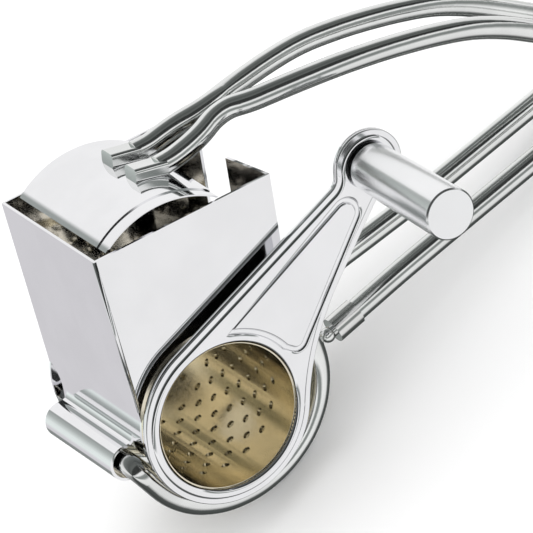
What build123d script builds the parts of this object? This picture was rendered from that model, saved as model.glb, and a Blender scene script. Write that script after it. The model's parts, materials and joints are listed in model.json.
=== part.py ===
from build123d import *
import math
import os

# Rotary cheese grater, all sizes in millimetres.
#
# The parts are drawn in the grater's working frame: X runs from the hopper towards the far end
# of the handles, Y is the drum's axis with the crank at the low end, Z is up with the hopper
# level, and the origin is the centre of the drum's mouth on the crank's face. At the very end
# everything is laid down as it rests on a table, on its two cradle hoops and its hinge clip.

# ---- driving dimensions -------------------------------------------------------------------
SHEET = 0.9                     # thickness of the pressed sheet
ROD = 7.0                       # diameter of every bent rod
ROD_R = ROD / 2
MID_Y = 35.0                    # the hopper and both handles are symmetrical about this plane

# hopper
HOPPER_FRONT_X = -25.2
HOPPER_REAR_X = 36.3            # at the rim
HOPPER_TOP_Z = 64.2
HOPPER_NEAR_Y = 6.0
HOPPER_FAR_Y = 2 * MID_Y - HOPPER_NEAR_Y
REAR_LEAN = 0.116               # the rear closes in by this much per millimetre downwards
FLANGE_TURN = 0.141             # the rear flanges turn inwards a little more than square
SLOT_HALF = 8.4                 # half the gap between the rear flanges
FLANGE_LOW_Z = 12.0
APRON_TOP_Z = 24.0
END_PLATE_R = 26.6              # round lower end of each side wall
FOLD_OVERLAP = 0.3
COLLAR_DEPTH = 3.6

# drum
DRUM_R = 23.2
DRUM_WALL = 0.6
DRUM_START_Y = 1.5
DRUM_END_Y = 60.2
MOUTH_R = 23.0
MOUTH_RING_R = 24.1
MOUTH_RING_END_Y = 10.0
COLLAR_WALL = 0.6
RUNNING_GAP = 0.08              # radial clearance of every bearing
COLLAR_R = MOUTH_RING_R + RUNNING_GAP + COLLAR_WALL
HOLES_AROUND = 18
HOLE_ROWS = 9
HOLE_R = 1.25
HOLE_PITCH_Y = 5.0
HOLE_FIRST_Y = 14.5
END_DISC = 1.2
SPINDLE_R = 3.0
BUSH_WALL = 2.0
BUSH_R = SPINDLE_R + RUNNING_GAP + BUSH_WALL
BUSH_FLANGE_R = 7.0
BUSH_FLANGE = 1.5
SHOULDER_R = 6.0                # shoulder and washer either side of the end disc
SHOULDER = 1.3
WASHER = 1.2
SPINDLE_TIP_Y = 70.5
NUT_R = 7.0
NUT_START_Y = 65.4
NUT_END_Y = 70.0
NUT_COLLAR = 1.2                # plain length of the nut beside the bush
NUT_FLUTES = 12
FLUTE_R = 1.1
FLUTE_OUT = 0.5                 # the flutes' centres stand this far outside the nut

# crank
CRANK_R = 85.2                  # drum axis to knob axis
CRANK_ANGLE = 39.7              # of the arm above level, at rest
RING_R = 27.7
CRANK_RIM = 3.2                 # depth of the turned-back rim
HEAD_R = 11.1                   # round end of the arm
RIM_ROUND = 1.2
ROOT_BEND = 10.0                # where the arm's lower edge leaves the ring
NECK_BEND = 5.0                 # where the arm widens into its head
ARM_NORMAL = 73.3               # direction square to the arm's upper edge, in degrees
ARM_UPPER_TIP = (76.0, 6.1)     # corners of the arm and its pocket, with the arm along +X
ARM_LOWER_TIP = (78.0, -8.4)
ARM_LOWER_BEND = (50.0, -11.2)
ARM_LOWER_MID = (34.0, -14.3)
ARM_LOWER_ROOT = (16.0, -20.0)
POCKET_DEPTH = 0.45
POCKET_UPPER_ROOT = (21.9, 15.1)
POCKET_UPPER_TIP = (69.5, 3.3)
POCKET_TIP = (73.3, -1.1)
POCKET_LOWER_TIP = (69.8, -4.9)
POCKET_LOWER_ROOT = (30.5, -11.0)
POCKET_CORNER = (27.3, -10.3)
POCKET_ARC_START = (25.7, -6.9)
POCKET_ARC_MID = (26.2, 4.5)

# knob
KNOB_BASE_R = 7.6
KNOB_TIP_R = 8.1
KNOB_START_Y = -1.6
KNOB_END_Y = -46.2
KNOB_CAP = 1.2
AXLE_R = 2.2
AXLE_TIP_Y = -43.0
AXLE_HEAD = 1.0                 # thickness of the axle's heads and shoulder
AXLE_SHOULDER_R = 3.4
AXLE_RIVET_R = 4.0
BUSH_LENGTH = 5.4
TIP_BUSH_Y = -42.6

# cradle hoops and sleeve
SLEEVE_X = -29.1
SLEEVE_Z = -7.3
SLEEVE_R = 5.7
SLEEVE_NEAR_Y = 16.3
SLEEVE_FAR_Y = 57.5
TAB_TOP_Z = 3.0                 # the front wall's tab starts to flare below this height
SKIRT_LOW_Z = -4.5              # the front wall ends here on both sides of its tab
HOOP_X = 6.6
HOOP_Z = -5.1
HOOP_HALF_X = 33.5
HOOP_HALF_Z = 29.4
HOOP_Y0 = 14.0                  # the hoops lean: y = HOOP_Y0 + HOOP_SLOPE * x on the near side
HOOP_SLOPE = 0.12
HOOP_END_X = 33.9               # each hoop ends against the rear apron
HOOP_END_Z = 15.0

# handles and hinge
CROSSBAR_HALF = 12.0
HAIRPIN_R = 6.5
GENTLE_BEND = 400.0             # largest bend allowed in a handle
LOWER_START = (47.7, 20.0, -1.4)    # near end of the lower handle, inside its ferrule
LOWER_NEXT = (75.0, 21.9, 5.1)
LOWER_END = (170.0, 28.0)       # x, z of the lower handle's crossbar
HINGE = (166.0, 39.5)           # x, z of the upper handle's crossbar, the lever's pivot
CLIP_WIDTH = 9.0
RIVET_R = 0.9
RIVET_HEAD_R = 1.4
RIVET_HEAD = 0.7
FERRULE_R = 4.15
FERRULE_LENGTH = 9.2
NECK_R = 1.9
NECK_LENGTH = 2.1
BALL_R = 2.4                    # welded to the outside of the hoop

# presser
PRESSER_R = 32.6                # outside of the arch
PRESSER_X = -0.3
PRESSER_Z = 38.6
PRESSER_SPREAD = 37.5           # half angle of the arch, in degrees
PRESSER_NEAR_Y = 8.0
EMBOSS_WIDTH = 5.0              # width of the lower band along each side of the arch
EMBOSS_DEPTH = 0.4
TAB_LENGTH = 11.0               # flattened ends of the upper handle
TAB_WIDTH = 7.0
TAB_THICKNESS = 4.8
TAB_ROUND = 1.4
TAB_CENTRE = (8.0, MID_Y - 7.3, 72.0)
TAB_TILT = 11.5


# ---- helpers ------------------------------------------------------------------------------
def side_plane(y):
    """A drawing plane across the drum's axis: local x is X and local y is Z."""
    return Plane(origin=(0, y, 0), x_dir=(1, 0, 0), z_dir=(0, -1, 0))


def slab(outline, y0, y1):
    """Extrude a side-plane outline from y0 to y1."""
    return extrude(side_plane(y0) * outline, amount=-(y1 - y0))


def disc(radius, y0, y1, x=0.0, z=0.0):
    return slab(Pos(x, z) * Circle(radius), y0, y1)


def tube(outer, inner, y0, y1, x=0.0, z=0.0):
    return disc(outer, y0, y1, x, z) - disc(inner, y0 - 1, y1 + 1, x, z)


def mirrored(shape):
    """The same piece on the far side of the middle plane."""
    return mirror(shape, Plane(origin=(0, MID_Y, 0), x_dir=(1, 0, 0), z_dir=(0, 1, 0)))


def bend_radius(before, corner, after, cap):
    """The largest arc that two runs leave room for, up to cap."""
    run_in = Vector(*corner) - Vector(*before)
    run_out = Vector(*after) - Vector(*corner)
    turn = math.radians(run_in.get_angle(run_out))
    shorter = min(run_in.length, run_out.length)
    return min(cap, 0.46 * shorter / math.tan(turn / 2))


def bent_rod(points, radius, caps):
    """A round rod along straight runs joined by tangent arcs."""
    radii = []
    for index in range(1, len(points) - 1):
        radii.append(bend_radius(points[index - 1], points[index], points[index + 1], caps[index - 1]))
    path = FilletPolyline(*points, radius=radii)
    section = Plane(origin=path @ 0, z_dir=path % 0) * Circle(radius)
    return sweep(section, path=path)


def there_and_back(points):
    """Points of the near half, followed by their mirror images in reverse."""
    far = [(x, 2 * MID_Y - y, z) for x, y, z in reversed(points)]
    return points + far


def rear_x(z):
    """Outside of the rear face at a height, at the side walls."""
    return HOPPER_REAR_X - REAR_LEAN * (HOPPER_TOP_Z - z)


def arm_frame(sketch):
    """Turn a crank outline, drawn with its arm along +X, to the rest angle."""
    return Rot(0, 0, CRANK_ANGLE) * sketch


def at_knob(shape):
    """Move a shape from the drum's axis to the knob's axis."""
    angle = math.radians(CRANK_ANGLE)
    return Pos(CRANK_R * math.cos(angle), 0, CRANK_R * math.sin(angle)) * shape


# ---- hopper -------------------------------------------------------------------------------
def front_wall():
    """Flat front sheet whose lower tab flares out and is rolled round the cradle's crossbar."""
    front = Plane(origin=(HOPPER_FRONT_X, 0, 0), x_dir=(0, 1, 0), z_dir=(1, 0, 0))
    outline = Polyline(
        (HOPPER_NEAR_Y, HOPPER_TOP_Z),
        (HOPPER_FAR_Y, HOPPER_TOP_Z),
        (HOPPER_FAR_Y, SKIRT_LOW_Z),
        (SLEEVE_FAR_Y, SKIRT_LOW_Z),
        (SLEEVE_FAR_Y, TAB_TOP_Z),
        (SLEEVE_NEAR_Y, TAB_TOP_Z),
        (SLEEVE_NEAR_Y, SKIRT_LOW_Z),
        (HOPPER_NEAR_Y, SKIRT_LOW_Z),
        close=True,
    )
    wall = extrude(front * make_face(outline), amount=SHEET)

    roll_mid = SLEEVE_R - SHEET / 2
    flare_r = 3.0
    wall_mid_x = HOPPER_FRONT_X + SHEET / 2
    flare_x = wall_mid_x - flare_r
    flare_z = SLEEVE_Z + math.sqrt((roll_mid + flare_r) ** 2 - (SLEEVE_X - flare_x) ** 2)
    meet = math.atan2(flare_z - SLEEVE_Z, flare_x - SLEEVE_X)
    meet_x = SLEEVE_X + roll_mid * math.cos(meet)
    meet_z = SLEEVE_Z + roll_mid * math.sin(meet)
    half_way = (meet - math.pi) / 2
    roll_end = math.radians(285)
    roll_half = (meet + roll_end) / 2
    path = Line((wall_mid_x, TAB_TOP_Z), (wall_mid_x, flare_z))
    path += ThreePointArc(
        (wall_mid_x, flare_z),
        (flare_x + flare_r * math.cos(half_way), flare_z + flare_r * math.sin(half_way)),
        (meet_x, meet_z),
    )
    path += ThreePointArc(
        (meet_x, meet_z),
        (SLEEVE_X + roll_mid * math.cos(roll_half), SLEEVE_Z + roll_mid * math.sin(roll_half)),
        (SLEEVE_X + roll_mid * math.cos(roll_end), SLEEVE_Z + roll_mid * math.sin(roll_end)),
    )
    strip = trace(path, line_width=SHEET)
    wall += slab(strip, SLEEVE_NEAR_Y, SLEEVE_FAR_Y)
    wall -= disc(END_PLATE_R, HOPPER_NEAR_Y, HOPPER_NEAR_Y + SHEET)
    wall -= disc(END_PLATE_R, HOPPER_FAR_Y - SHEET, HOPPER_FAR_Y)
    return wall - disc(COLLAR_R, HOPPER_NEAR_Y, HOPPER_NEAR_Y + COLLAR_DEPTH)


def rear_flange(y_corner, y_edge):
    """Flange folded in from a side wall's rear edge, standing in the leaning rear face."""
    turn = FLANGE_TURN * abs(y_edge - y_corner)
    corners = []
    for z in (FLANGE_LOW_Z, HOPPER_TOP_Z):
        corners.append(
            Plane(origin=(0, 0, z))
            * make_face(
                Polyline(
                    (rear_x(z), y_corner),
                    (rear_x(z) - turn, y_edge),
                    (rear_x(z) - turn - SHEET, y_edge),
                    (rear_x(z) - SHEET, y_corner),
                    close=True,
                )
            )
        )
    return loft(corners)


def side_outline(bore):
    """Trapezium that ends in a round plate about the drum, with a round hole in the plate."""
    inner_x = HOPPER_FRONT_X + SHEET
    trapezium = Polyline(
        (inner_x, HOPPER_TOP_Z),
        (HOPPER_REAR_X, HOPPER_TOP_Z),
        (rear_x(0), 0),
        (inner_x, 0),
        close=True,
    )
    return make_face(trapezium) + Circle(END_PLATE_R) - Circle(bore)


def near_side_wall():
    """Side sheet with the hole for the drum's mouth, and its rear flange."""
    wall = slab(side_outline(COLLAR_R), HOPPER_NEAR_Y, HOPPER_NEAR_Y + SHEET)
    return wall + rear_flange(HOPPER_NEAR_Y + SHEET - FOLD_OVERLAP, MID_Y - SLOT_HALF)


def far_side_wall():
    """Side sheet, closed below except for the spindle's bush, and its rear flange."""
    wall = slab(side_outline(BUSH_R), HOPPER_FAR_Y - SHEET, HOPPER_FAR_Y)
    return wall + rear_flange(HOPPER_FAR_Y - SHEET + FOLD_OVERLAP, MID_Y + SLOT_HALF)


def rear_apron():
    """Flat sheet across both side walls that closes the rear below the slot."""
    outline = Polyline(
        (rear_x(APRON_TOP_Z), APRON_TOP_Z),
        (rear_x(APRON_TOP_Z) + SHEET, APRON_TOP_Z),
        (rear_x(0) + SHEET, 0),
        (rear_x(0), 0),
        close=True,
    )
    return slab(make_face(outline), HOPPER_NEAR_Y, HOPPER_FAR_Y)


def near_drum_collar():
    """Flanged ring in the near wall's hole, the bearing of the drum's mouth."""
    bore = MOUTH_RING_R + RUNNING_GAP
    collar = tube(COLLAR_R, bore, HOPPER_NEAR_Y - SHEET, HOPPER_NEAR_Y + COLLAR_DEPTH)
    flange = tube(END_PLATE_R, bore, HOPPER_NEAR_Y - SHEET, HOPPER_NEAR_Y)
    return collar + flange


def far_bush():
    """Flanged bush in the far wall for the drum's spindle."""
    bore = SPINDLE_R + RUNNING_GAP
    inner_y = HOPPER_FAR_Y - SHEET
    body = tube(BUSH_R, bore, inner_y, HOPPER_FAR_Y + 1.0)
    flange = tube(BUSH_FLANGE_R, bore, inner_y - BUSH_FLANGE, inner_y)
    return body + flange


# ---- cradle and lower handle --------------------------------------------------------------
def hoop_point(angle):
    """A point of the near hoop's centre line, by its angle about the hoop's middle."""
    x = HOOP_X + HOOP_HALF_X * math.cos(math.radians(angle))
    z = HOOP_Z + HOOP_HALF_Z * math.sin(math.radians(angle))
    return x, HOOP_Y0 + HOOP_SLOPE * x, z


def cradle_hoop():
    """One bent rod: a hoop under each end of the drum, and a crossbar through the sleeve."""
    near = [(HOOP_END_X, HOOP_Y0 + HOOP_SLOPE * HOOP_END_X, HOOP_END_Z)]
    for angle in (12, -8, -28, -48, -68, -88, -108, -128, -147):
        near.append(hoop_point(angle))
    near.append((SLEEVE_X, HOOP_Y0 + HOOP_SLOPE * SLEEVE_X, SLEEVE_Z))
    points = there_and_back(near)
    round_bend = 60.0
    corner_bend = 4.5
    caps = [round_bend] * (len(near) - 2) + [corner_bend, corner_bend] + [round_bend] * (len(near) - 2)
    rod = bent_rod(points, ROD_R, caps)
    return rod - rear_face_block()


def rear_face_block():
    """Everything in front of the outer side of the rear apron."""
    low_z, high_z = 8.0, 60.0
    block = make_face(
        Polyline(
            (rear_x(high_z) + SHEET, high_z),
            (rear_x(low_z) + SHEET, low_z),
            (0, low_z),
            (0, high_z),
            close=True,
        )
    )
    return slab(block, HOPPER_NEAR_Y - 4, HOPPER_FAR_Y + 4)


def lower_handle():
    """Hairpin rod from the cradle to the hinge clip, with its two ends turned down to necks."""
    near = [
        LOWER_START,
        LOWER_NEXT,
        (100.0, 22.9, 10.8),
        (125.0, 23.0, 17.0),
        (LOWER_END[0], MID_Y - CROSSBAR_HALF, LOWER_END[1]),
    ]
    bends = len(near) - 2
    caps = [GENTLE_BEND] * bends + [HAIRPIN_R, HAIRPIN_R] + [GENTLE_BEND] * bends
    rod = bent_rod(there_and_back(near), ROD_R, caps)
    start = Vector(*near[0])
    along = (start - Vector(*near[1])).normalized()
    neck = extrude(Plane(origin=start, z_dir=along) * Circle(NECK_R), amount=NECK_LENGTH)
    ball = start + along * NECK_LENGTH
    neck += Pos(ball.X, ball.Y, ball.Z) * Sphere(BALL_R)
    return rod + neck + mirrored(neck)


def ferrule():
    """Short tube pressed over the rod's end beside the hoop."""
    start = Vector(*LOWER_START)
    along = (Vector(*LOWER_NEXT) - start).normalized()
    ring = Circle(FERRULE_R) - Circle(ROD_R)
    return extrude(Plane(origin=start, z_dir=along) * ring, amount=FERRULE_LENGTH)


# ---- hinge --------------------------------------------------------------------------------
def clip_waist():
    """Middle of the clip, the direction through its two leaves, and the axes' spacing."""
    lower = Vector(LOWER_END[0], MID_Y, LOWER_END[1])
    upper = Vector(HINGE[0], MID_Y, HINGE[1])
    along = (upper - lower).normalized()
    across = Vector(along.Z, 0, -along.X)
    return (lower + upper) * 0.5, across, (upper - lower).length


def rivet_shank():
    """Cylinder through both leaves of the clip's waist."""
    middle, across, _ = clip_waist()
    start = middle - across * SHEET
    return extrude(Plane(origin=start, z_dir=across) * Circle(RIVET_R), amount=2 * SHEET)


def hinge_clip():
    """Sheet clip with a tight knuckle round the lower crossbar and a running one above it."""
    middle, across, spacing = clip_waist()
    running = ROD_R + RUNNING_GAP
    tilt = math.degrees(math.atan2(across.Z, across.X))
    outline = Pos(middle.X, middle.Z) * Rot(0, 0, tilt) * Rectangle(2 * SHEET, spacing)
    outline += Pos(*LOWER_END) * Circle(ROD_R + SHEET)
    outline += Pos(*HINGE) * Circle(running + SHEET)
    outline -= Pos(*LOWER_END) * Circle(ROD_R)
    outline -= Pos(*HINGE) * Circle(running)
    return slab(outline, MID_Y - CLIP_WIDTH / 2, MID_Y + CLIP_WIDTH / 2) - rivet_shank()


def hinge_rivet():
    """Rivet that closes the clip's waist, with a head on each leaf."""
    middle, across, _ = clip_waist()
    rivet = rivet_shank()
    for side in (across, across * -1):
        seat = Plane(origin=middle + side * SHEET, z_dir=side)
        rivet += extrude(seat * Circle(RIVET_HEAD_R), amount=RIVET_HEAD)
    return rivet


# ---- upper handle and presser -------------------------------------------------------------
def arch(radius_out, radius_in, y0, y1):
    """Part of a tube about the presser's own axis."""
    reach = 2 * PRESSER_R
    spread = math.radians(PRESSER_SPREAD)
    wedge = make_face(
        Polyline(
            (0, 0),
            (reach * math.sin(spread), reach * math.cos(spread)),
            (-reach * math.sin(spread), reach * math.cos(spread)),
            close=True,
        )
    )
    outline = (Circle(radius_out) - Circle(radius_in)) & wedge
    return slab(Pos(PRESSER_X, PRESSER_Z) * outline, y0, y1)


def presser_plate():
    """Arched plate that pushes the cheese onto the drum, with a raised step along each side."""
    far_y = 2 * MID_Y - PRESSER_NEAR_Y
    plate = arch(PRESSER_R, PRESSER_R - SHEET, PRESSER_NEAR_Y, far_y)
    for y0 in (PRESSER_NEAR_Y, far_y - EMBOSS_WIDTH):
        plate -= arch(PRESSER_R + 1, PRESSER_R - EMBOSS_DEPTH, y0, y0 + EMBOSS_WIDTH)
    return plate


def upper_handle():
    """Hairpin rod: arched loop, pinched waist, and two flattened ends welded on the presser."""
    near = [
        (11.5, MID_Y - 7.2, 71.2),
        (16.5, MID_Y - 7.0, 71.3),
        (22.5, MID_Y - 7.0, 72.6),
        (28.0, MID_Y - 6.2, 73.9),
        (34.5, MID_Y - 3.8, 75.6),
        (40.0, MID_Y - 3.8, 76.6),
        (46.5, MID_Y - 6.3, 76.5),
        (60.0, MID_Y - 9.2, 77.1),
        (74.0, MID_Y - 11.5, 77.0),
        (90.0, MID_Y - 12.0, 75.0),
        (106.0, MID_Y - 12.0, 71.7),
        (119.0, MID_Y - 12.0, 68.0),
        (130.0, MID_Y - 12.0, 62.7),
        (141.0, MID_Y - 12.0, 55.6),
        (153.0, MID_Y - 12.0, 47.6),
        (HINGE[0], MID_Y - CROSSBAR_HALF, HINGE[1]),
    ]
    bends = len(near) - 2
    caps = [GENTLE_BEND] * bends + [HAIRPIN_R, HAIRPIN_R] + [GENTLE_BEND] * bends
    handle = bent_rod(there_and_back(near), ROD_R, caps)
    end = Box(TAB_LENGTH, TAB_WIDTH, TAB_THICKNESS)
    end = fillet(end.edges().filter_by(Axis.X), TAB_ROUND)
    end = Pos(*TAB_CENTRE) * Rot(0, TAB_TILT, 0) * end
    handle += end + mirrored(end)
    return handle - disc(PRESSER_R, PRESSER_NEAR_Y, 2 * MID_Y - PRESSER_NEAR_Y, PRESSER_X, PRESSER_Z)


# ---- drum ---------------------------------------------------------------------------------
def grating_drum():
    """Perforated tube, open at the crank's end."""
    drum = tube(DRUM_R, DRUM_R - DRUM_WALL, DRUM_START_Y, DRUM_END_Y)
    cutters = []
    for row in range(HOLE_ROWS):
        y = HOLE_FIRST_Y + HOLE_PITCH_Y * row
        for place in range(HOLES_AROUND):
            turn = 360.0 / HOLES_AROUND * (place + 0.5 * (row % 2))
            punch = Cylinder(HOLE_R, 3.0)
            cutters.append(Rot(0, turn, 0) * Pos(0, y, DRUM_R) * punch)
    return drum - Compound(children=cutters)


def mouth_ring():
    """Bearing band that joins the drum's mouth to the back of the crank."""
    return tube(MOUTH_RING_R, DRUM_R, SHEET, MOUTH_RING_END_Y)


def drum_end_disc():
    return tube(DRUM_R - DRUM_WALL, SPINDLE_R, DRUM_END_Y - END_DISC, DRUM_END_Y)


def drum_spindle():
    """Shaft riveted through the end disc, running in the far bush."""
    disc_y = DRUM_END_Y - END_DISC
    shaft = disc(SPINDLE_R, disc_y - SHOULDER, SPINDLE_TIP_Y)
    shaft = chamfer(shaft.edges().group_by(Axis.Y)[-1], 0.6)
    return shaft + disc(SHOULDER_R, disc_y - SHOULDER, disc_y)


def drum_washer():
    return tube(SHOULDER_R, SPINDLE_R, DRUM_END_Y, DRUM_END_Y + WASHER)


def thumb_nut():
    """Fluted nut that holds the drum in, turned off by hand to change it."""
    nut = tube(NUT_R, SPINDLE_R, NUT_START_Y, NUT_END_Y)
    flute = disc(FLUTE_R, NUT_START_Y + NUT_COLLAR, NUT_END_Y + 1, NUT_R + FLUTE_OUT, 0)
    for place in range(NUT_FLUTES):
        nut -= Rot(0, 360.0 / NUT_FLUTES * place, 0) * flute
    return nut


# ---- crank --------------------------------------------------------------------------------
def crank_outline():
    """Ring, tapering arm and round head, drawn with the arm along +X."""
    normal = math.radians(ARM_NORMAL)
    upper_root = (RING_R * math.cos(normal), RING_R * math.sin(normal))
    arm = Line(upper_root, ARM_UPPER_TIP)
    arm += Line(ARM_UPPER_TIP, ARM_LOWER_TIP)
    arm += Line(ARM_LOWER_TIP, ARM_LOWER_BEND)
    arm += ThreePointArc(ARM_LOWER_BEND, ARM_LOWER_MID, ARM_LOWER_ROOT)
    arm += Line(ARM_LOWER_ROOT, upper_root)
    outline = make_face(arm) + Circle(RING_R) + Pos(CRANK_R, 0) * Circle(HEAD_R)
    root = [vertex for vertex in outline.vertices() if 16.5 < vertex.X < 24]
    outline = fillet(root, ROOT_BEND)
    necks = [vertex for vertex in outline.vertices() if 70 < vertex.X < 82]
    return fillet(necks, NECK_BEND)


def pocket_outline():
    """Sunk panel of the arm, bounded by an arc about the mouth and a round top."""
    pocket = Line(POCKET_UPPER_ROOT, POCKET_UPPER_TIP)
    pocket += ThreePointArc(POCKET_UPPER_TIP, POCKET_TIP, POCKET_LOWER_TIP)
    pocket += Line(POCKET_LOWER_TIP, POCKET_LOWER_ROOT)
    pocket += ThreePointArc(POCKET_LOWER_ROOT, POCKET_CORNER, POCKET_ARC_START)
    pocket += ThreePointArc(POCKET_ARC_START, POCKET_ARC_MID, POCKET_UPPER_ROOT)
    return make_face(pocket)


def crank_plate():
    """Pressed sheet crank with its rim turned back all round and a sunk pocket in the arm."""
    pocket = arm_frame(pocket_outline())
    plate = slab(arm_frame(crank_outline()), 0, CRANK_RIM)
    plate = fillet(plate.edges().group_by(Axis.Y)[0], RIM_ROUND)
    back = plate.faces().sort_by(Axis.Y)[-1]
    plate = offset(plate, amount=-SHEET, openings=back, kind=Kind.ARC)
    plate -= slab(pocket, -1, POCKET_DEPTH)
    plate += slab(pocket, POCKET_DEPTH, POCKET_DEPTH + SHEET)
    plate -= disc(MOUTH_R, -1, CRANK_RIM + 1)
    return plate - at_knob(disc(AXLE_R, -1, CRANK_RIM))


# ---- knob ---------------------------------------------------------------------------------
def knob_axle():
    """Headed pin riveted through the arm."""
    pin = disc(AXLE_R, AXLE_TIP_Y, SHEET)
    rivet_head = disc(AXLE_RIVET_R, SHEET, SHEET + AXLE_HEAD)
    shoulder = disc(AXLE_SHOULDER_R, -AXLE_HEAD, 0)
    tip_head = disc(AXLE_SHOULDER_R, AXLE_TIP_Y - AXLE_HEAD, AXLE_TIP_Y)
    return at_knob(pin + rivet_head + shoulder + tip_head)


def knob_sleeve():
    """Hollow grip, a little wider at its free end."""
    length = KNOB_START_Y - KNOB_END_Y
    outside = Cone(KNOB_TIP_R, KNOB_BASE_R, length)
    inside = Cylinder(KNOB_BASE_R - SHEET, length + 2)
    grip = Rot(-90, 0, 0) * (outside - inside)
    return at_knob(Pos(0, (KNOB_START_Y + KNOB_END_Y) / 2, 0) * grip)


def knob_end_cap():
    """Disc that closes the grip's free end, with a plug that centres it."""
    cap = disc(KNOB_TIP_R, KNOB_END_Y - KNOB_CAP, KNOB_END_Y)
    cap = chamfer(cap.edges().group_by(Axis.Y)[0], 0.5)
    plug = disc(KNOB_BASE_R - SHEET, KNOB_END_Y, KNOB_END_Y + KNOB_CAP)
    return at_knob(cap + plug)


def knob_bush(y0):
    """Plain bearing between the grip and its axle."""
    return at_knob(tube(KNOB_BASE_R - SHEET, AXLE_R + RUNNING_GAP, y0, y0 + BUSH_LENGTH))


# ---- assembly -----------------------------------------------------------------------------
def hoop_low(tilt):
    """Height of the hoops' lowest point when the grater is tipped forward by tilt."""
    centre = HOOP_Z * math.cos(tilt) - HOOP_X * math.sin(tilt)
    reach = math.hypot(HOOP_HALF_X * math.sin(tilt), HOOP_HALF_Z * math.cos(tilt))
    return centre - reach - ROD_R


def clip_low(tilt):
    centre = LOWER_END[1] * math.cos(tilt) - LOWER_END[0] * math.sin(tilt)
    return centre - ROD_R - SHEET


def rest_tilt():
    """Angle at which the hoops and the hinge clip stand on one table top."""
    low, high = 0.0, math.radians(45)
    for _ in range(50):
        middle = (low + high) / 2
        if clip_low(middle) > hoop_low(middle):
            low = middle
        else:
            high = middle
    return math.degrees(low)


def build_parts():
    return {
        "front_wall": front_wall(),
        "near_side_wall": near_side_wall(),
        "far_side_wall": far_side_wall(),
        "rear_apron": rear_apron(),
        "near_drum_collar": near_drum_collar(),
        "far_bush": far_bush(),
        "cradle_hoop": cradle_hoop(),
        "lower_handle": lower_handle(),
        "near_ferrule": ferrule(),
        "far_ferrule": mirrored(ferrule()),
        "hinge_clip": hinge_clip(),
        "hinge_rivet": hinge_rivet(),
        "upper_handle": upper_handle(),
        "presser_plate": presser_plate(),
        "grating_drum": grating_drum(),
        "mouth_ring": mouth_ring(),
        "drum_end_disc": drum_end_disc(),
        "drum_spindle": drum_spindle(),
        "drum_washer": drum_washer(),
        "thumb_nut": thumb_nut(),
        "crank_plate": crank_plate(),
        "knob_axle": knob_axle(),
        "knob_sleeve": knob_sleeve(),
        "knob_end_cap": knob_end_cap(),
        "knob_base_bush": knob_bush(KNOB_START_Y - BUSH_LENGTH),
        "knob_tip_bush": knob_bush(TIP_BUSH_Y),
    }


def main():
    os.makedirs("parts", exist_ok=True)
    tipped = {}
    for name, shape in build_parts().items():
        tipped[name] = Rot(0, rest_tilt(), 0) * shape
    boxes = [shape.bounding_box() for shape in tipped.values()]
    middle_x = (min(box.min.X for box in boxes) + max(box.max.X for box in boxes)) / 2
    middle_y = (min(box.min.Y for box in boxes) + max(box.max.Y for box in boxes)) / 2
    floor = min(box.min.Z for box in boxes)
    home = Pos(-middle_x, -middle_y, -floor)
    print("tilt", rest_tilt(), "shift", -middle_x, -middle_y, -floor)
    for name, shape in tipped.items():
        export_step(home * shape, f"parts/{name}.step")


main()
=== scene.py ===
import json
import math

import bmesh
import bpy
from mathutils import Matrix, Vector


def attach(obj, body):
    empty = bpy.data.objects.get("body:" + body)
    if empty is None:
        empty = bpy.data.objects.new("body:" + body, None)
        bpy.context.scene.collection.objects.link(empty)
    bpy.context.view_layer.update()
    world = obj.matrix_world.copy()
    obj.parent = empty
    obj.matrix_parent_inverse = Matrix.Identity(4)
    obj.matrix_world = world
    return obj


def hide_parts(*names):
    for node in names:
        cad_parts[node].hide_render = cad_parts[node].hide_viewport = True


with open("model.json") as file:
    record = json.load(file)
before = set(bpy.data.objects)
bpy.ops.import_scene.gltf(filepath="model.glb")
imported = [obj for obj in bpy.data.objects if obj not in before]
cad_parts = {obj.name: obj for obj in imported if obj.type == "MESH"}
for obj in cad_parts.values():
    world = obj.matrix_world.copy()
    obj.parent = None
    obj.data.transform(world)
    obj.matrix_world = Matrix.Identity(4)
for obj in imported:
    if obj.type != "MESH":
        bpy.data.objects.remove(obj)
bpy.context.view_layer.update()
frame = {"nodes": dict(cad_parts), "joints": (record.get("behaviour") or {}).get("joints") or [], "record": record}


def joint(name):
    for entry in frame["joints"]:
        if entry["name"] == name:
            return Vector(entry["pos_m"])
    raise KeyError(name)


# ---- the grater's working frame, read back from the joints ---------------------------------
# X runs from the hopper to the far end of the handles with the hopper level, Y is the drum's
# axis, Z is up. Working sizes are in millimetres, as in the part's source.
MM = 0.001
HINGE_X = 166.0
HINGE_Z = 39.5
DRUM_JOINT_Y = 30.0                     # the drum's joint lies this far behind its mouth
drum_axis = joint("crank_spin")
hinge_axis = joint("presser_hinge")
reach = hinge_axis - drum_axis
tilt = math.atan2(HINGE_Z, HINGE_X) - math.atan2(reach.z, reach.x)
turn = Matrix.Rotation(tilt, 4, "Y")
joint_to_mouth = Matrix.Translation((0, -DRUM_JOINT_Y, 0))
working = Matrix.Translation(drum_axis) @ turn @ Matrix.Scale(MM, 4) @ joint_to_mouth


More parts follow.
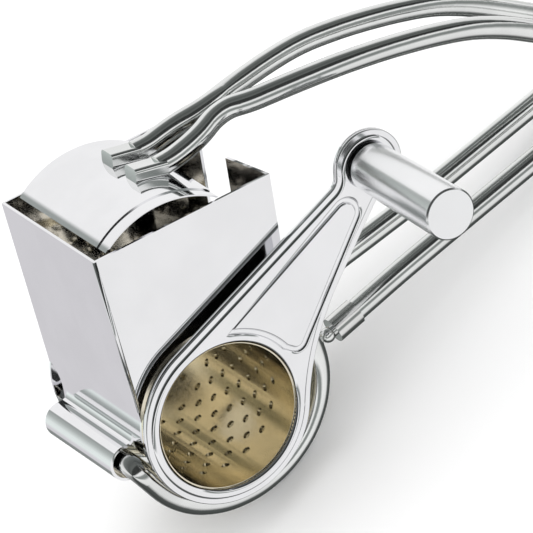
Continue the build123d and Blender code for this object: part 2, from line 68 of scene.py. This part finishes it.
class NodeMath:
    """Small helper that adds nodes to a node tree and links them."""

    def __init__(self, tree):
        self.tree = tree

    def put(self, socket, value):
        if isinstance(value, bpy.types.NodeSocket):
            self.tree.links.new(value, socket)
        else:
            socket.default_value = value

    def math(self, operation, first, second=0.0, third=0.0):
        node = self.tree.nodes.new("ShaderNodeMath")
        node.operation = operation
        self.put(node.inputs[0], first)
        self.put(node.inputs[1], second)
        self.put(node.inputs[2], third)
        return node.outputs[0]

    def step(self, value, low, high):
        """0 below low, 1 above high, smooth between them."""
        node = self.tree.nodes.new("ShaderNodeMapRange")
        node.interpolation_type = "SMOOTHSTEP"
        self.put(node.inputs["Value"], value)
        node.inputs["From Min"].default_value = low
        node.inputs["From Max"].default_value = high
        return node.outputs["Result"]

    def mix(self, factor, first, second):
        """The colours of a Mix node are its inputs 6 and 7 and its output 2."""
        node = self.tree.nodes.new("ShaderNodeMix")
        node.data_type = "RGBA"
        self.put(node.inputs["Factor"], factor)
        self.put(node.inputs[6], first)
        self.put(node.inputs[7], second)
        return node.outputs[2]

    def ramp(self, value, stops):
        """Colour by value from 0 to 1, through stops of (place, colour)."""
        node = self.tree.nodes.new("ShaderNodeValToRGB")
        self.tree.links.new(value, node.inputs[0])
        elements = node.color_ramp.elements
        elements[0].position, elements[1].position = stops[0][0], stops[-1][0]
        elements[0].color = (*stops[0][1], 1)
        elements[1].color = (*stops[-1][1], 1)
        for place, color in stops[1:-1]:
            element = elements.new(place)
            element.color = (*color, 1)
        return node.outputs[0]

    def along_axes(self, tipped_by, scale):
        """Object coordinates turned into the working frame's directions and scaled."""
        place = self.tree.nodes.new("ShaderNodeTexCoord").outputs["Object"]
        turned = self.tree.nodes.new("ShaderNodeVectorRotate")
        turned.rotation_type = "Y_AXIS"
        turned.inputs["Angle"].default_value = -tipped_by
        self.tree.links.new(place, turned.inputs["Vector"])
        scaled = self.tree.nodes.new("ShaderNodeMapping")
        scaled.inputs["Scale"].default_value = scale
        self.tree.links.new(turned.outputs[0], scaled.inputs["Vector"])
        return scaled.outputs[0]

    def noise(self, vector):
        node = self.tree.nodes.new("ShaderNodeTexNoise")
        node.inputs["Scale"].default_value = 1.0
        node.inputs["Detail"].default_value = 3.0
        self.tree.links.new(vector, node.inputs["Vector"])
        return node.outputs[0]


# ---- materials -----------------------------------------------------------------------------
# A scale is about how many streaks or clouds there are in a metre along each axis.
CLOUD_SCALE = (55, 55, 55)
TARNISHED_BELOW = 0.35
CLEAN_ABOVE = 0.7
GLOSS_SWING = 0.08                      # how much the streaks change the roughness
GLOSS_DROP = 0.03                       # keeps the average roughness near the stated one


def steel(name, color, roughness, streak_scale, streak_height, wear):
    """Polished steel with fine polishing streaks, faint tarnish clouds and uneven gloss."""
    material = bpy.data.materials.new(name)
    material.use_nodes = True
    tree = material.node_tree
    nodes = NodeMath(tree)
    shader = tree.nodes["Principled BSDF"]
    shader.inputs["Metallic"].default_value = 1
    streaks = nodes.noise(nodes.along_axes(tilt, streak_scale))
    clouds = nodes.noise(nodes.along_axes(tilt, CLOUD_SCALE))
    stained = tuple(part * (1 - wear) for part in color)
    cloudy = nodes.step(clouds, TARNISHED_BELOW, CLEAN_ABOVE)
    nodes.put(shader.inputs["Base Color"], nodes.mix(cloudy, (*stained, 1), (*color, 1)))
    gloss = nodes.math("MULTIPLY_ADD", streaks, GLOSS_SWING, roughness - GLOSS_DROP)
    nodes.put(shader.inputs["Roughness"], gloss)
    bump = tree.nodes.new("ShaderNodeBump")
    bump.inputs["Distance"].default_value = streak_height
    bump.inputs["Strength"].default_value = 1.0
    nodes.put(bump.inputs["Height"], streaks)
    nodes.put(shader.inputs["Normal"], bump.outputs["Normal"])
    return material


FINISHES = {
    "sheet_steel": steel("sheet_steel", (0.90, 0.90, 0.915), 0.05, (300, 2600, 300), 2e-7, 0.04),
    "rod_steel": steel("rod_steel", (0.86, 0.87, 0.86), 0.10, (40, 1500, 1500), 6e-6, 0.10),
    "drum_steel": steel("drum_steel", (0.90, 0.83, 0.66), 0.14, (900, 900, 900), 2e-6, 0.12),
    "fitting_steel": steel("fitting_steel", (0.84, 0.84, 0.83), 0.10, (700, 700, 700), 2e-6, 0.10),
    "knob_steel": steel("knob_steel", (0.93, 0.935, 0.945), 0.20, (2500, 60, 2500), 5e-7, 0.03),
}
for entry in frame["record"]["subparts"]:
    node = frame["nodes"][entry["node"]]
    node.data.materials.clear()
    node.data.materials.append(FINISHES[entry["material_slot"]])

WELD = 2e-6                             # metres


def piece(name, mesh, finish):
    """Weld and face a mesh outwards, give it its finish and put it in the scene."""
    bm = bmesh.new()
    bm.from_mesh(mesh)
    bmesh.ops.remove_doubles(bm, verts=bm.verts, dist=WELD)
    bmesh.ops.recalc_face_normals(bm, faces=bm.faces)
    bm.to_mesh(mesh)
    bm.free()
    mesh.materials.clear()
    mesh.materials.append(FINISHES[finish])
    made = bpy.data.objects.new(name, mesh)
    bpy.context.scene.collection.objects.link(made)
    return made


# ---- crank ---------------------------------------------------------------------------------
# The outline is drawn with the arm along +X, as in the part's source. The front of the face is
# at y = 0, and y grows towards the drum.
CRANK_ANGLE = math.radians(39.7)
CRANK_R = 85.2
RING_R = 27.7
HEAD_R = 11.1
NECK_R = 5.0
MOUTH_R = 23.0
CRANK_BACK = 3.2
ARC_STEP = 0.6                          # about the length of one straight run on an arc
SMALL_ARC_STEPS = 4
CLOSING_GAP = 0.02                      # radians, so that a circle's last point isn't its first


def direction(degrees):
    angle = math.radians(degrees)
    return Vector((math.cos(angle), math.sin(angle)))


UPPER_NORMAL = direction(73.3)          # square to the arm's upper edge
LOWER_NORMAL = direction(-84.3)         # square to its lower edge
FOOT = Vector((50.0, -11.2))            # where the arm's lower edge starts to curve away

POCKET_TIP = Vector((69.2, -0.8))
POCKET_TIP_R = 4.1
POCKET_UPPER_NORMAL = math.radians(76)
POCKET_LOWER_NORMAL = math.radians(-81.5)
POCKET_ARC_R = 26.6                     # the pocket's inner end is an arc about the mouth
POCKET_ARC_START = math.radians(33)
POCKET_ARC_END = math.radians(-12)
POCKET_CORNER = Vector((29.4, -7.6))
POCKET_CORNER_R = 3.0
POCKET_CORNER_START = math.radians(190)
POCKET_CORNER_END = math.radians(277)

RIM_FRONT = 0.8
RIM_CHAMFER = 0.25
RIM_CLEARANCE = 0.2                     # the rim's hole is this much larger than the mouth
FACE_INSET = 1.5                        # the face is smaller than the rim, which makes a step
FACE_BACK = 2.0
FACE_CHAMFER = 0.95
FACE_POCKET_GROWN = 0.4                 # the face's hole round the panel
PANEL_INSET = 0.55
PANEL_FRONT = -0.1
PANEL_BACK = 1.7
PANEL_CHAMFER = 0.6


def angle_of(vector):
    return math.atan2(vector.y, vector.x)


def arc(centre, radius, start, end, inset, hollow=False):
    """Points of an arc moved inwards by inset; hollow is an arc whose centre is outside."""
    used = radius + inset if hollow else radius - inset
    count = max(SMALL_ARC_STEPS, int(abs(end - start) * used / ARC_STEP))
    points = []
    for step in range(count + 1):
        angle = start + (end - start) * step / count
        points.append(centre + used * Vector((math.cos(angle), math.sin(angle))))
    return points


def neck_centre(normal, distance, side):
    """Centre of the small arc that joins an edge of the arm to its round head."""
    head = Vector((CRANK_R, 0))
    out = distance + NECK_R - normal.dot(head)
    along = math.sqrt((HEAD_R + NECK_R) ** 2 - out**2)
    inward = Vector((-normal.y, normal.x)) * side
    return head + normal * out + inward * along


def crank_loop(inset=0.0):
    """Ring, tapering arm and round head as one closed loop, shrunk by inset."""
    origin = Vector((0, 0))
    head = Vector((CRANK_R, 0))
    foot_distance = LOWER_NORMAL.dot(FOOT)
    foot_r = (FOOT.length_squared - RING_R**2) / (2 * (RING_R - foot_distance))
    foot = FOOT + LOWER_NORMAL * foot_r
    lower_neck = neck_centre(LOWER_NORMAL, foot_distance, -1)
    upper_neck = neck_centre(UPPER_NORMAL, RING_R, 1)
    turn_round = 2 * math.pi
    points = arc(origin, RING_R, angle_of(UPPER_NORMAL), angle_of(foot) + turn_round, inset)
    points += arc(foot, foot_r, angle_of(-foot), angle_of(-LOWER_NORMAL), inset, hollow=True)
    start, end = angle_of(-LOWER_NORMAL), angle_of(head - lower_neck)
    points += arc(lower_neck, NECK_R, start, end, inset, hollow=True)
    points += arc(head, HEAD_R, angle_of(lower_neck - head), angle_of(upper_neck - head), inset)
    start, end = angle_of(head - upper_neck), angle_of(-UPPER_NORMAL)
    points += arc(upper_neck, NECK_R, start, end, inset, hollow=True)
    return points


def pocket_loop(inset=0.0):
    """Pocket of the arm: an arc about the mouth, two straight sides and a round tip."""
    points = arc(POCKET_TIP, POCKET_TIP_R, POCKET_LOWER_NORMAL, POCKET_UPPER_NORMAL, inset)
    mouth = Vector((0, 0))
    points += arc(mouth, POCKET_ARC_R, POCKET_ARC_START, POCKET_ARC_END, inset, hollow=True)
    start, end = POCKET_CORNER_START, POCKET_CORNER_END
    points += arc(POCKET_CORNER, POCKET_CORNER_R, start, end, inset)
    return points


def mouth_loop(radius):
    return arc(Vector((0, 0)), radius, 0.0, 2 * math.pi - CLOSING_GAP, 0.0)


def pressed_plate(name, loops, front, back, chamfer):
    """Flat plate of the given outline and holes whose front and back edges are chamfered."""
    curve = bpy.data.curves.new(name + "_outline", "CURVE")
    curve.dimensions = "2D"
    curve.fill_mode = "BOTH"
    curve.extrude = (back - front) / 2 - chamfer
    curve.bevel_depth = chamfer
    curve.bevel_resolution = 0
    curve.offset = -chamfer
    for loop in loops:
        spline = curve.splines.new("POLY")
        spline.points.add(len(loop) - 1)
        for point, place in zip(spline.points, loop):
            point.co = (place.x, place.y, 0, 1)
        spline.use_cyclic_u = True
    flat = bpy.data.objects.new(name + "_outline", curve)
    bpy.context.scene.collection.objects.link(flat)
    bpy.context.view_layer.update()
    finished = flat.evaluated_get(bpy.context.evaluated_depsgraph_get())
    mesh = bpy.data.meshes.new_from_object(finished)
    bpy.data.objects.remove(flat)
    stand_up = Matrix.Rotation(math.radians(90), 4, "X")
    at_rest = Matrix.Rotation(-CRANK_ANGLE, 4, "Y")
    seat = Matrix.Translation((0, (front + back) / 2, 0))
    mesh.transform(working @ seat @ at_rest @ stand_up)
    return piece(name, mesh, "sheet_steel")


def make_crank():
    """Turned-back rim, the face set in from it and the raised panel in the face's pocket."""
    rim_loops = [crank_loop(), mouth_loop(MOUTH_R + RIM_CLEARANCE)]
    rim = pressed_plate("crank_rim", rim_loops, RIM_FRONT, CRANK_BACK, RIM_CHAMFER)
    face_loops = [crank_loop(FACE_INSET), mouth_loop(MOUTH_R), pocket_loop(-FACE_POCKET_GROWN)]
    face = pressed_plate("crank_face", face_loops, 0.0, FACE_BACK, FACE_CHAMFER)
    panel_loops = [pocket_loop(PANEL_INSET)]
    panel = pressed_plate("crank_panel", panel_loops, PANEL_FRONT, PANEL_BACK, PANEL_CHAMFER)
    for part in (rim, face, panel):
        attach(part, "crank")
    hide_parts("crank_plate")


make_crank()


# ---- hopper corner -------------------------------------------------------------------------
CORNER_X = -24.72
CORNER_Y = 6.48
CORNER_R = 0.68
CORNER_LOW_Z = 12.0
CORNER_TOP_Z = 64.1
CORNER_SIDES = 24


def make_corner():
    """Rounded bend where the hopper's front sheet meets its near side."""
    bm = bmesh.new()
    length = CORNER_TOP_Z - CORNER_LOW_Z
    bmesh.ops.create_cone(
        bm,
        cap_ends=True,
        segments=CORNER_SIDES,
        radius1=CORNER_R,
        radius2=CORNER_R,
        depth=length,
        matrix=working @ Matrix.Translation((CORNER_X, CORNER_Y, CORNER_LOW_Z + length / 2)),
    )
    for face in bm.faces:
        face.smooth = len(face.verts) == 4
    mesh = bpy.data.meshes.new("front_corner_bend")
    bm.to_mesh(mesh)
    bm.free()
    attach(piece("front_corner_bend", mesh, "sheet_steel"), "frame")


make_corner()


# ---- drum teeth ----------------------------------------------------------------------------
DRUM_R = 23.2
HOLES_AROUND = 18
HOLE_ROWS = 9
HOLE_PITCH_Y = 5.0
HOLE_FIRST_Y = 14.5
TOOTH_SIDES = 14
TOOTH_HEIGHT = 0.75
TOOTH_SUNK = 0.1                        # depth of each tooth's foot in the drum's wall
TOOTH_FOOT_R = 1.75
TOOTH_TIP_R = 1.32
TOOTH_HOLE_FOOT_R = 1.3
TOOTH_HOLE_TIP_R = 1.2


def add_tooth(bm, seat):
    """One sharp-edged lip: an outer and an inner cone, joined at the foot and at the tip."""
    radii = ((TOOTH_FOOT_R, TOOTH_TIP_R), (TOOTH_HOLE_FOOT_R, TOOTH_HOLE_TIP_R))
    edges = []
    for foot_r, tip_r in radii:
        cone = bmesh.ops.create_cone(
            bm,
            segments=TOOTH_SIDES,
            radius1=foot_r,
            radius2=tip_r,
            depth=TOOTH_HEIGHT,
            matrix=seat,
        )
        edges += dict.fromkeys(edge for vert in cone["verts"] for edge in vert.link_edges)
    upright = seat.inverted()
    for at_foot in (True, False):
        rings = []
        for edge in edges:
            ends_low = [(upright @ vert.co).z < 0 for vert in edge.verts]
            if ends_low == [at_foot, at_foot]:
                rings.append(edge)
        bmesh.ops.bridge_loops(bm, edges=rings)


def make_teeth():
    """A raised, sharp-edged lip round every hole of the drum."""
    bm = bmesh.new()
    height = DRUM_R + TOOTH_HEIGHT / 2 - TOOTH_SUNK
    for row in range(HOLE_ROWS):
        y = HOLE_FIRST_Y + HOLE_PITCH_Y * row
        for place in range(HOLES_AROUND):
            turn_by = math.radians(360.0 / HOLES_AROUND * (place + 0.5 * (row % 2)))
            on_drum = Matrix.Rotation(turn_by, 4, "Y")
            add_tooth(bm, on_drum @ Matrix.Translation((0, y, height)))
    bmesh.ops.transform(bm, matrix=working, verts=bm.verts)
    mesh = bpy.data.meshes.new("drum_teeth")
    bm.to_mesh(mesh)
    bm.free()
    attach(piece("drum_teeth", mesh, "drum_steel"), "crank")


make_teeth()


# ---- floor ---------------------------------------------------------------------------------
FLOOR_SIZE = 6                          # metres
FLOOR_WHITE = (0.93, 0.93, 0.93, 1)
FLOOR_ROUGHNESS = 0.9


def make_floor():
    """Pale floor that catches shadows but isn't seen in the metal's reflections."""
    mesh = bpy.data.meshes.new("floor")
    bm = bmesh.new()
    bmesh.ops.create_grid(bm, x_segments=1, y_segments=1, size=FLOOR_SIZE)
    bm.to_mesh(mesh)
    bm.free()
    floor = bpy.data.objects.new("floor", mesh)
    bpy.context.scene.collection.objects.link(floor)
    material = bpy.data.materials.new("floor_white")
    material.use_nodes = True
    shader = material.node_tree.nodes["Principled BSDF"]
    shader.inputs["Base Color"].default_value = FLOOR_WHITE
    shader.inputs["Roughness"].default_value = FLOOR_ROUGHNESS
    mesh.materials.append(material)
    floor.visible_glossy = False


make_floor()


# ---- studio light --------------------------------------------------------------------------
# Light that doesn't come by a mirror reflection is plain white. Mirror reflections see bands of
# grey, as black flags beside a softbox make. The bands are fixed in the room: towards the far
# side they turn about Y, and elsewhere about X. Each stop is (degrees, colour).
PLAIN_WHITE = (1.3, 1.3, 1.3, 1)
FAR_SIDE_FROM = 0.60                    # y of a direction that starts to see the far bands
FAR_SIDE_FULL = 0.72
GREENISH = (0.93, 1.0, 0.97)
PINKISH = (1.0, 0.985, 1.02)


def grey(level, tint=(1.0, 1.0, 1.0)):
    return tuple(level * part for part in tint)


FAR_BANDS = [
    (-180, grey(0.90, GREENISH)),
    (-160, grey(0.72, PINKISH)),
    (-143, grey(0.66, PINKISH)),
    (-136, grey(0.30, GREENISH)),
    (-84, grey(0.22, GREENISH)),
    (-74, grey(0.95)),
    (100, grey(0.95)),
    (104, grey(0.36, GREENISH)),
    (128, grey(0.50, GREENISH)),
    (160, grey(0.88, GREENISH)),
    (180, grey(0.90, GREENISH)),
]
MAIN_BANDS = [
    (-180, grey(0.85)),
    (-150, grey(0.45)),
    (-125, grey(0.06, GREENISH)),
    (-70, grey(0.10, GREENISH)),
    (-52, grey(0.85)),
    (-20, grey(0.95)),
    (-8, grey(0.25, GREENISH)),
    (8, grey(0.30, GREENISH)),
    (14, grey(0.90)),
    (26, grey(0.95)),
    (30, grey(0.03, GREENISH)),
    (57, grey(0.03, GREENISH)),
    (64, grey(0.13, GREENISH)),
    (85, grey(0.09, GREENISH)),
    (120, grey(0.19, GREENISH)),
    (135, grey(0.80)),
    (180, grey(0.95)),
]


def bands(nodes, rise, run, stops):
    """Colour by the angle whose tangent is rise over run, from -180 to 180 degrees."""
    turns = nodes.math("DIVIDE", nodes.math("ARCTAN2", rise, run), 2 * math.pi)
    places = [((degrees + 180) / 360, color) for degrees, color in stops]
    return nodes.ramp(nodes.math("ADD", turns, 0.5), places)


def make_studio():
    studio = bpy.data.worlds.new("studio")
    studio.use_nodes = True
    tree = studio.node_tree
    nodes = NodeMath(tree)
    background = tree.nodes["Background"]
    toward = tree.nodes.new("ShaderNodeTexCoord").outputs["Generated"]
    split = tree.nodes.new("ShaderNodeSeparateXYZ")
    tree.links.new(toward, split.inputs[0])
    x, y, z = split.outputs
    far_side = bands(nodes, z, x, FAR_BANDS)
    elsewhere = bands(nodes, z, nodes.math("MULTIPLY", y, -1.0), MAIN_BANDS)
    pattern = nodes.mix(nodes.step(y, FAR_SIDE_FROM, FAR_SIDE_FULL), elsewhere, far_side)
    mirrored = tree.nodes.new("ShaderNodeLightPath").outputs["Is Glossy Ray"]
    tree.links.new(nodes.mix(mirrored, PLAIN_WHITE, pattern), background.inputs[0])
    bpy.context.scene.world = studio
    bpy.context.scene.view_settings.view_transform = "Standard"


make_studio()


# ---- camera --------------------------------------------------------------------------------
# It stands about three metres off with a long lens, so that the view is nearly parallel.
CAMERA_PLACE = Vector((-455.68, -2457.05, 1734.75)) * MM
CAMERA_HEADING = math.radians(-9.8427)
CAMERA_PITCH = math.radians(56.1313)    # from looking straight down
CAMERA_ROLL = math.radians(-40.32)
CAMERA_LENS = 684.65
SENSOR_WIDTH = 36
VIEW_LIMIT = 100                        # metres


def make_camera():
    data = bpy.data.cameras.new("camera")
    data.lens = CAMERA_LENS
    data.sensor_width = SENSOR_WIDTH
    data.clip_end = VIEW_LIMIT
    camera = bpy.data.objects.new("camera", data)
    heading = Matrix.Rotation(CAMERA_HEADING, 4, "Z")
    pitch = Matrix.Rotation(CAMERA_PITCH, 4, "X")
    roll = Matrix.Rotation(CAMERA_ROLL, 4, "Z")
    camera.matrix_world = Matrix.Translation(CAMERA_PLACE) @ heading @ pitch @ roll
    bpy.context.scene.collection.objects.link(camera)
    bpy.context.scene.camera = camera


make_camera()
